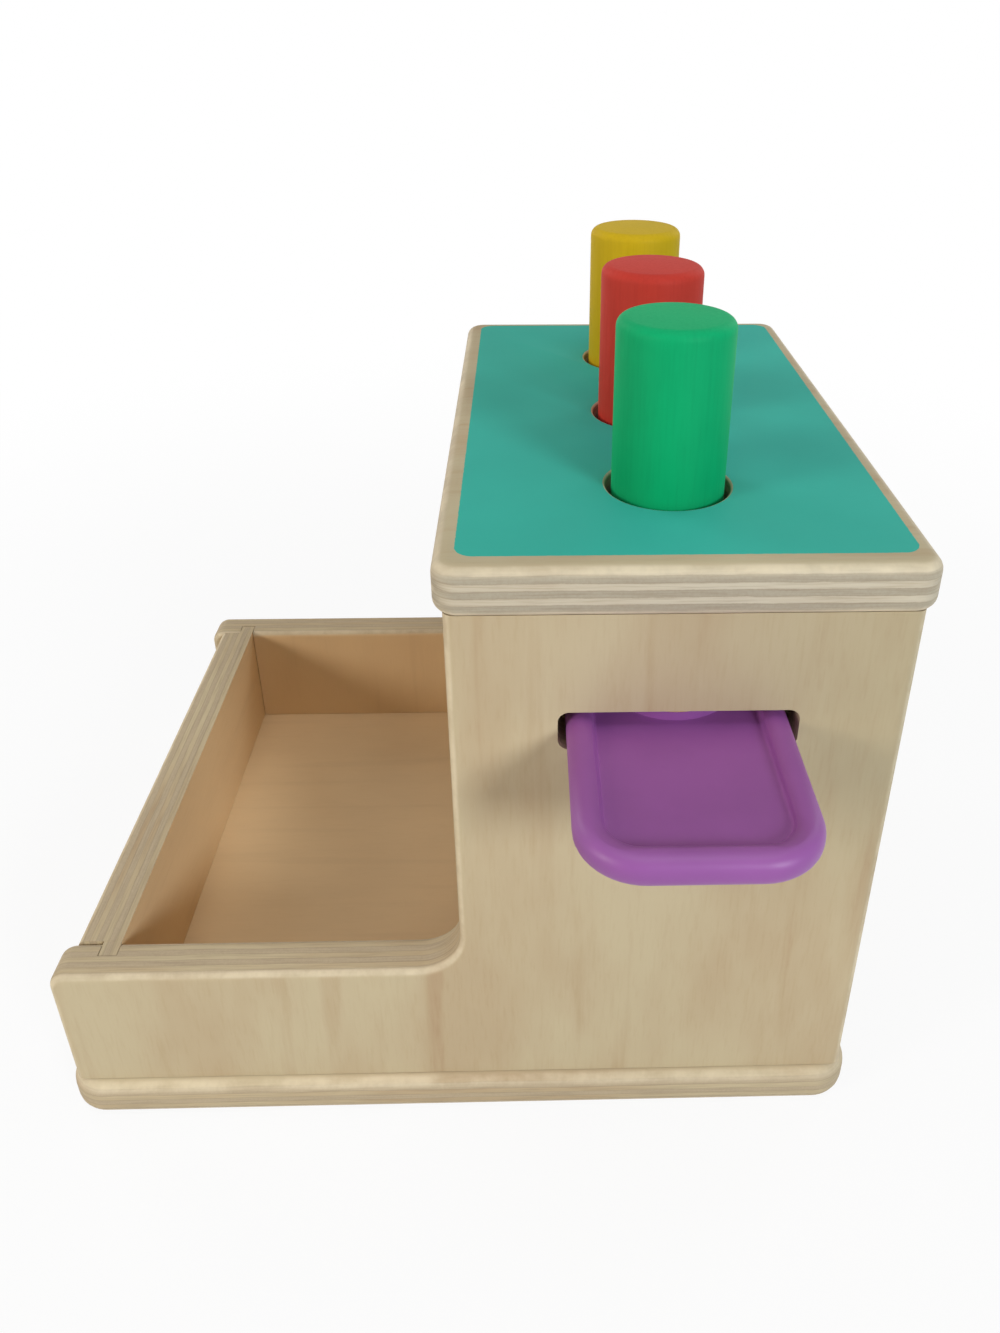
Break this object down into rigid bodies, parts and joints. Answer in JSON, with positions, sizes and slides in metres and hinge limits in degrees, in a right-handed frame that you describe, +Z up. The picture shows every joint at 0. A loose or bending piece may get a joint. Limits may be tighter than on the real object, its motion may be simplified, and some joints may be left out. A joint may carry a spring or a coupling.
{
  "type": "peg drop toy",
  "caption": "Wooden peg drop toy: pegs stand in a lidded plywood tower until a slider is pushed in, then fall down a ramp into the open tray beside it.",
  "frame": {"origin": "middle of the base board's underside, on the surface that the toy stands on", "axes": "+X from the tray towards the tower, +Y from the slider end towards the rear end, +Z up"},
  "size_m": [0.229, 0.2412, 0.2231],
  "materials": {
    "birch_ply": "sanded and clear lacquered, satin",
    "softwood": "planed, bare",
    "teal_painted_ply": "satin paint on top inside a bare border",
    "purple_plastic": "moulded, satin",
    "green_painted_wood": "satin paint",
    "red_painted_wood": "satin paint",
    "yellow_painted_wood": "satin paint",
    "screw_steel": "zinc plated"
  },
  "bodies": {
    "toy_body": {"base_board": "birch_ply", "front_end_panel": "birch_ply", "rear_end_panel": "birch_ply", "tray_wall": "birch_ply", "tower_side_wall": "birch_ply", "exit_curtain_wall": "birch_ply", "slider_rail_exit_side": "softwood", "slider_rail_wall_side": "softwood", "peg_ramp": "birch_ply", "ramp_cleat": "softwood", "lid": "teal_painted_ply", "lid_dowel_front_1": "softwood", "lid_dowel_front_2": "softwood", "lid_dowel_rear_1": "softwood", "lid_dowel_rear_2": "softwood", "base_screw_front_1": "screw_steel", "base_screw_front_2": "screw_steel", "base_screw_front_3": "screw_steel", "base_screw_rear_1": "screw_steel", "base_screw_rear_2": "screw_steel", "base_screw_rear_3": "screw_steel"},
    "slider": {"release_slider": "purple_plastic"},
    "green_peg": {"peg_green": "green_painted_wood"},
    "red_peg": {"peg_red": "red_painted_wood"},
    "yellow_peg": {"peg_yellow": "yellow_painted_wood"}
  },
  "joints": [
    {"name": "slider_push", "type": "slide", "parent": "toy_body", "child": "slider", "axis": [0, 1, 0], "range_m": [0, 0.024]},
    {"name": "green_peg_lift", "type": "slide", "parent": "toy_body", "child": "green_peg", "axis": [0, 0, 1], "range_m": [0, 0.045]},
    {"name": "red_peg_lift", "type": "slide", "parent": "toy_body", "child": "red_peg", "axis": [0, 0, 1], "range_m": [0, 0.045]},
    {"name": "yellow_peg_lift", "type": "slide", "parent": "toy_body", "child": "yellow_peg", "axis": [0, 0, 1], "range_m": [0, 0.045]}
  ]
}
